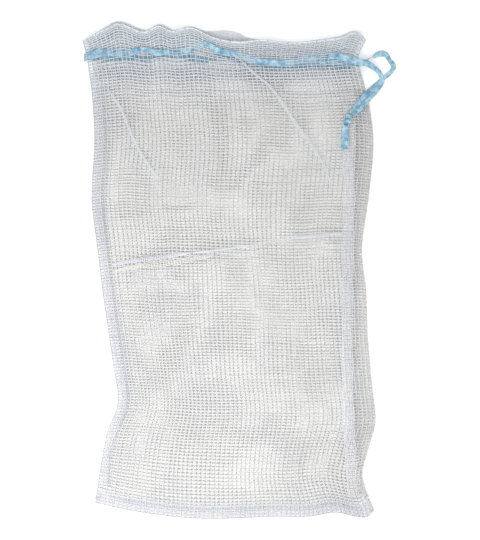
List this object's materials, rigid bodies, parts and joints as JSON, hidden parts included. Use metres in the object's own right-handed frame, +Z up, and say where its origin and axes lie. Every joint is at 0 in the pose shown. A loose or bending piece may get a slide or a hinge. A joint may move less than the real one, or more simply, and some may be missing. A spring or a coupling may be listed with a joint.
{
  "type": "mesh laundry bag",
  "caption": "Flat-lying white net laundry bag with seamed sides and bottom, an open mouth with turned hems, and a ribbon drawstring knotted at one side.",
  "frame": {"origin": "on the surface the bag lies on, under the middle of its outline", "axes": "+Y from the closed bottom towards the mouth, +X towards the side where the drawstring comes out, +Z up from the surface"},
  "size_m": [0.4436, 0.7023, 0.0193],
  "materials": {
    "net": "open woven white net, matte",
    "selvedge": "dense bluish white net edge, matte",
    "thread": "white polyester sewing thread",
    "ribbon": "sky blue satin tape, slightly translucent"
  },
  "bodies": {
    "bag": {"back_panel": "net", "front_panel": "net", "left_side_seam": "selvedge", "right_side_seam": "selvedge", "bottom_hem": "selvedge", "front_mouth_hem": "net", "back_mouth_hem": "net", "left_seam_thread": "thread", "right_seam_thread": "thread", "bottom_hem_thread": "thread", "front_mouth_thread": "thread", "back_mouth_thread": "thread", "corner_thread_end": "thread", "drawstring_front_run": "ribbon", "drawstring_back_run": "ribbon", "drawstring_left_turn": "ribbon"},
    "drawstring": {"drawstring_front_reserve": "ribbon", "drawstring_back_reserve": "ribbon", "drawstring_front_end": "ribbon", "drawstring_back_end": "ribbon", "drawstring_front_tail": "ribbon", "drawstring_back_tail": "ribbon", "drawstring_knot": "ribbon"}
  },
  "joints": [
    {"name": "drawstring_pull", "type": "slide", "parent": "bag", "child": "drawstring", "axis": [1, 0, 0], "range_m": [0, 0.12]}
  ]
}
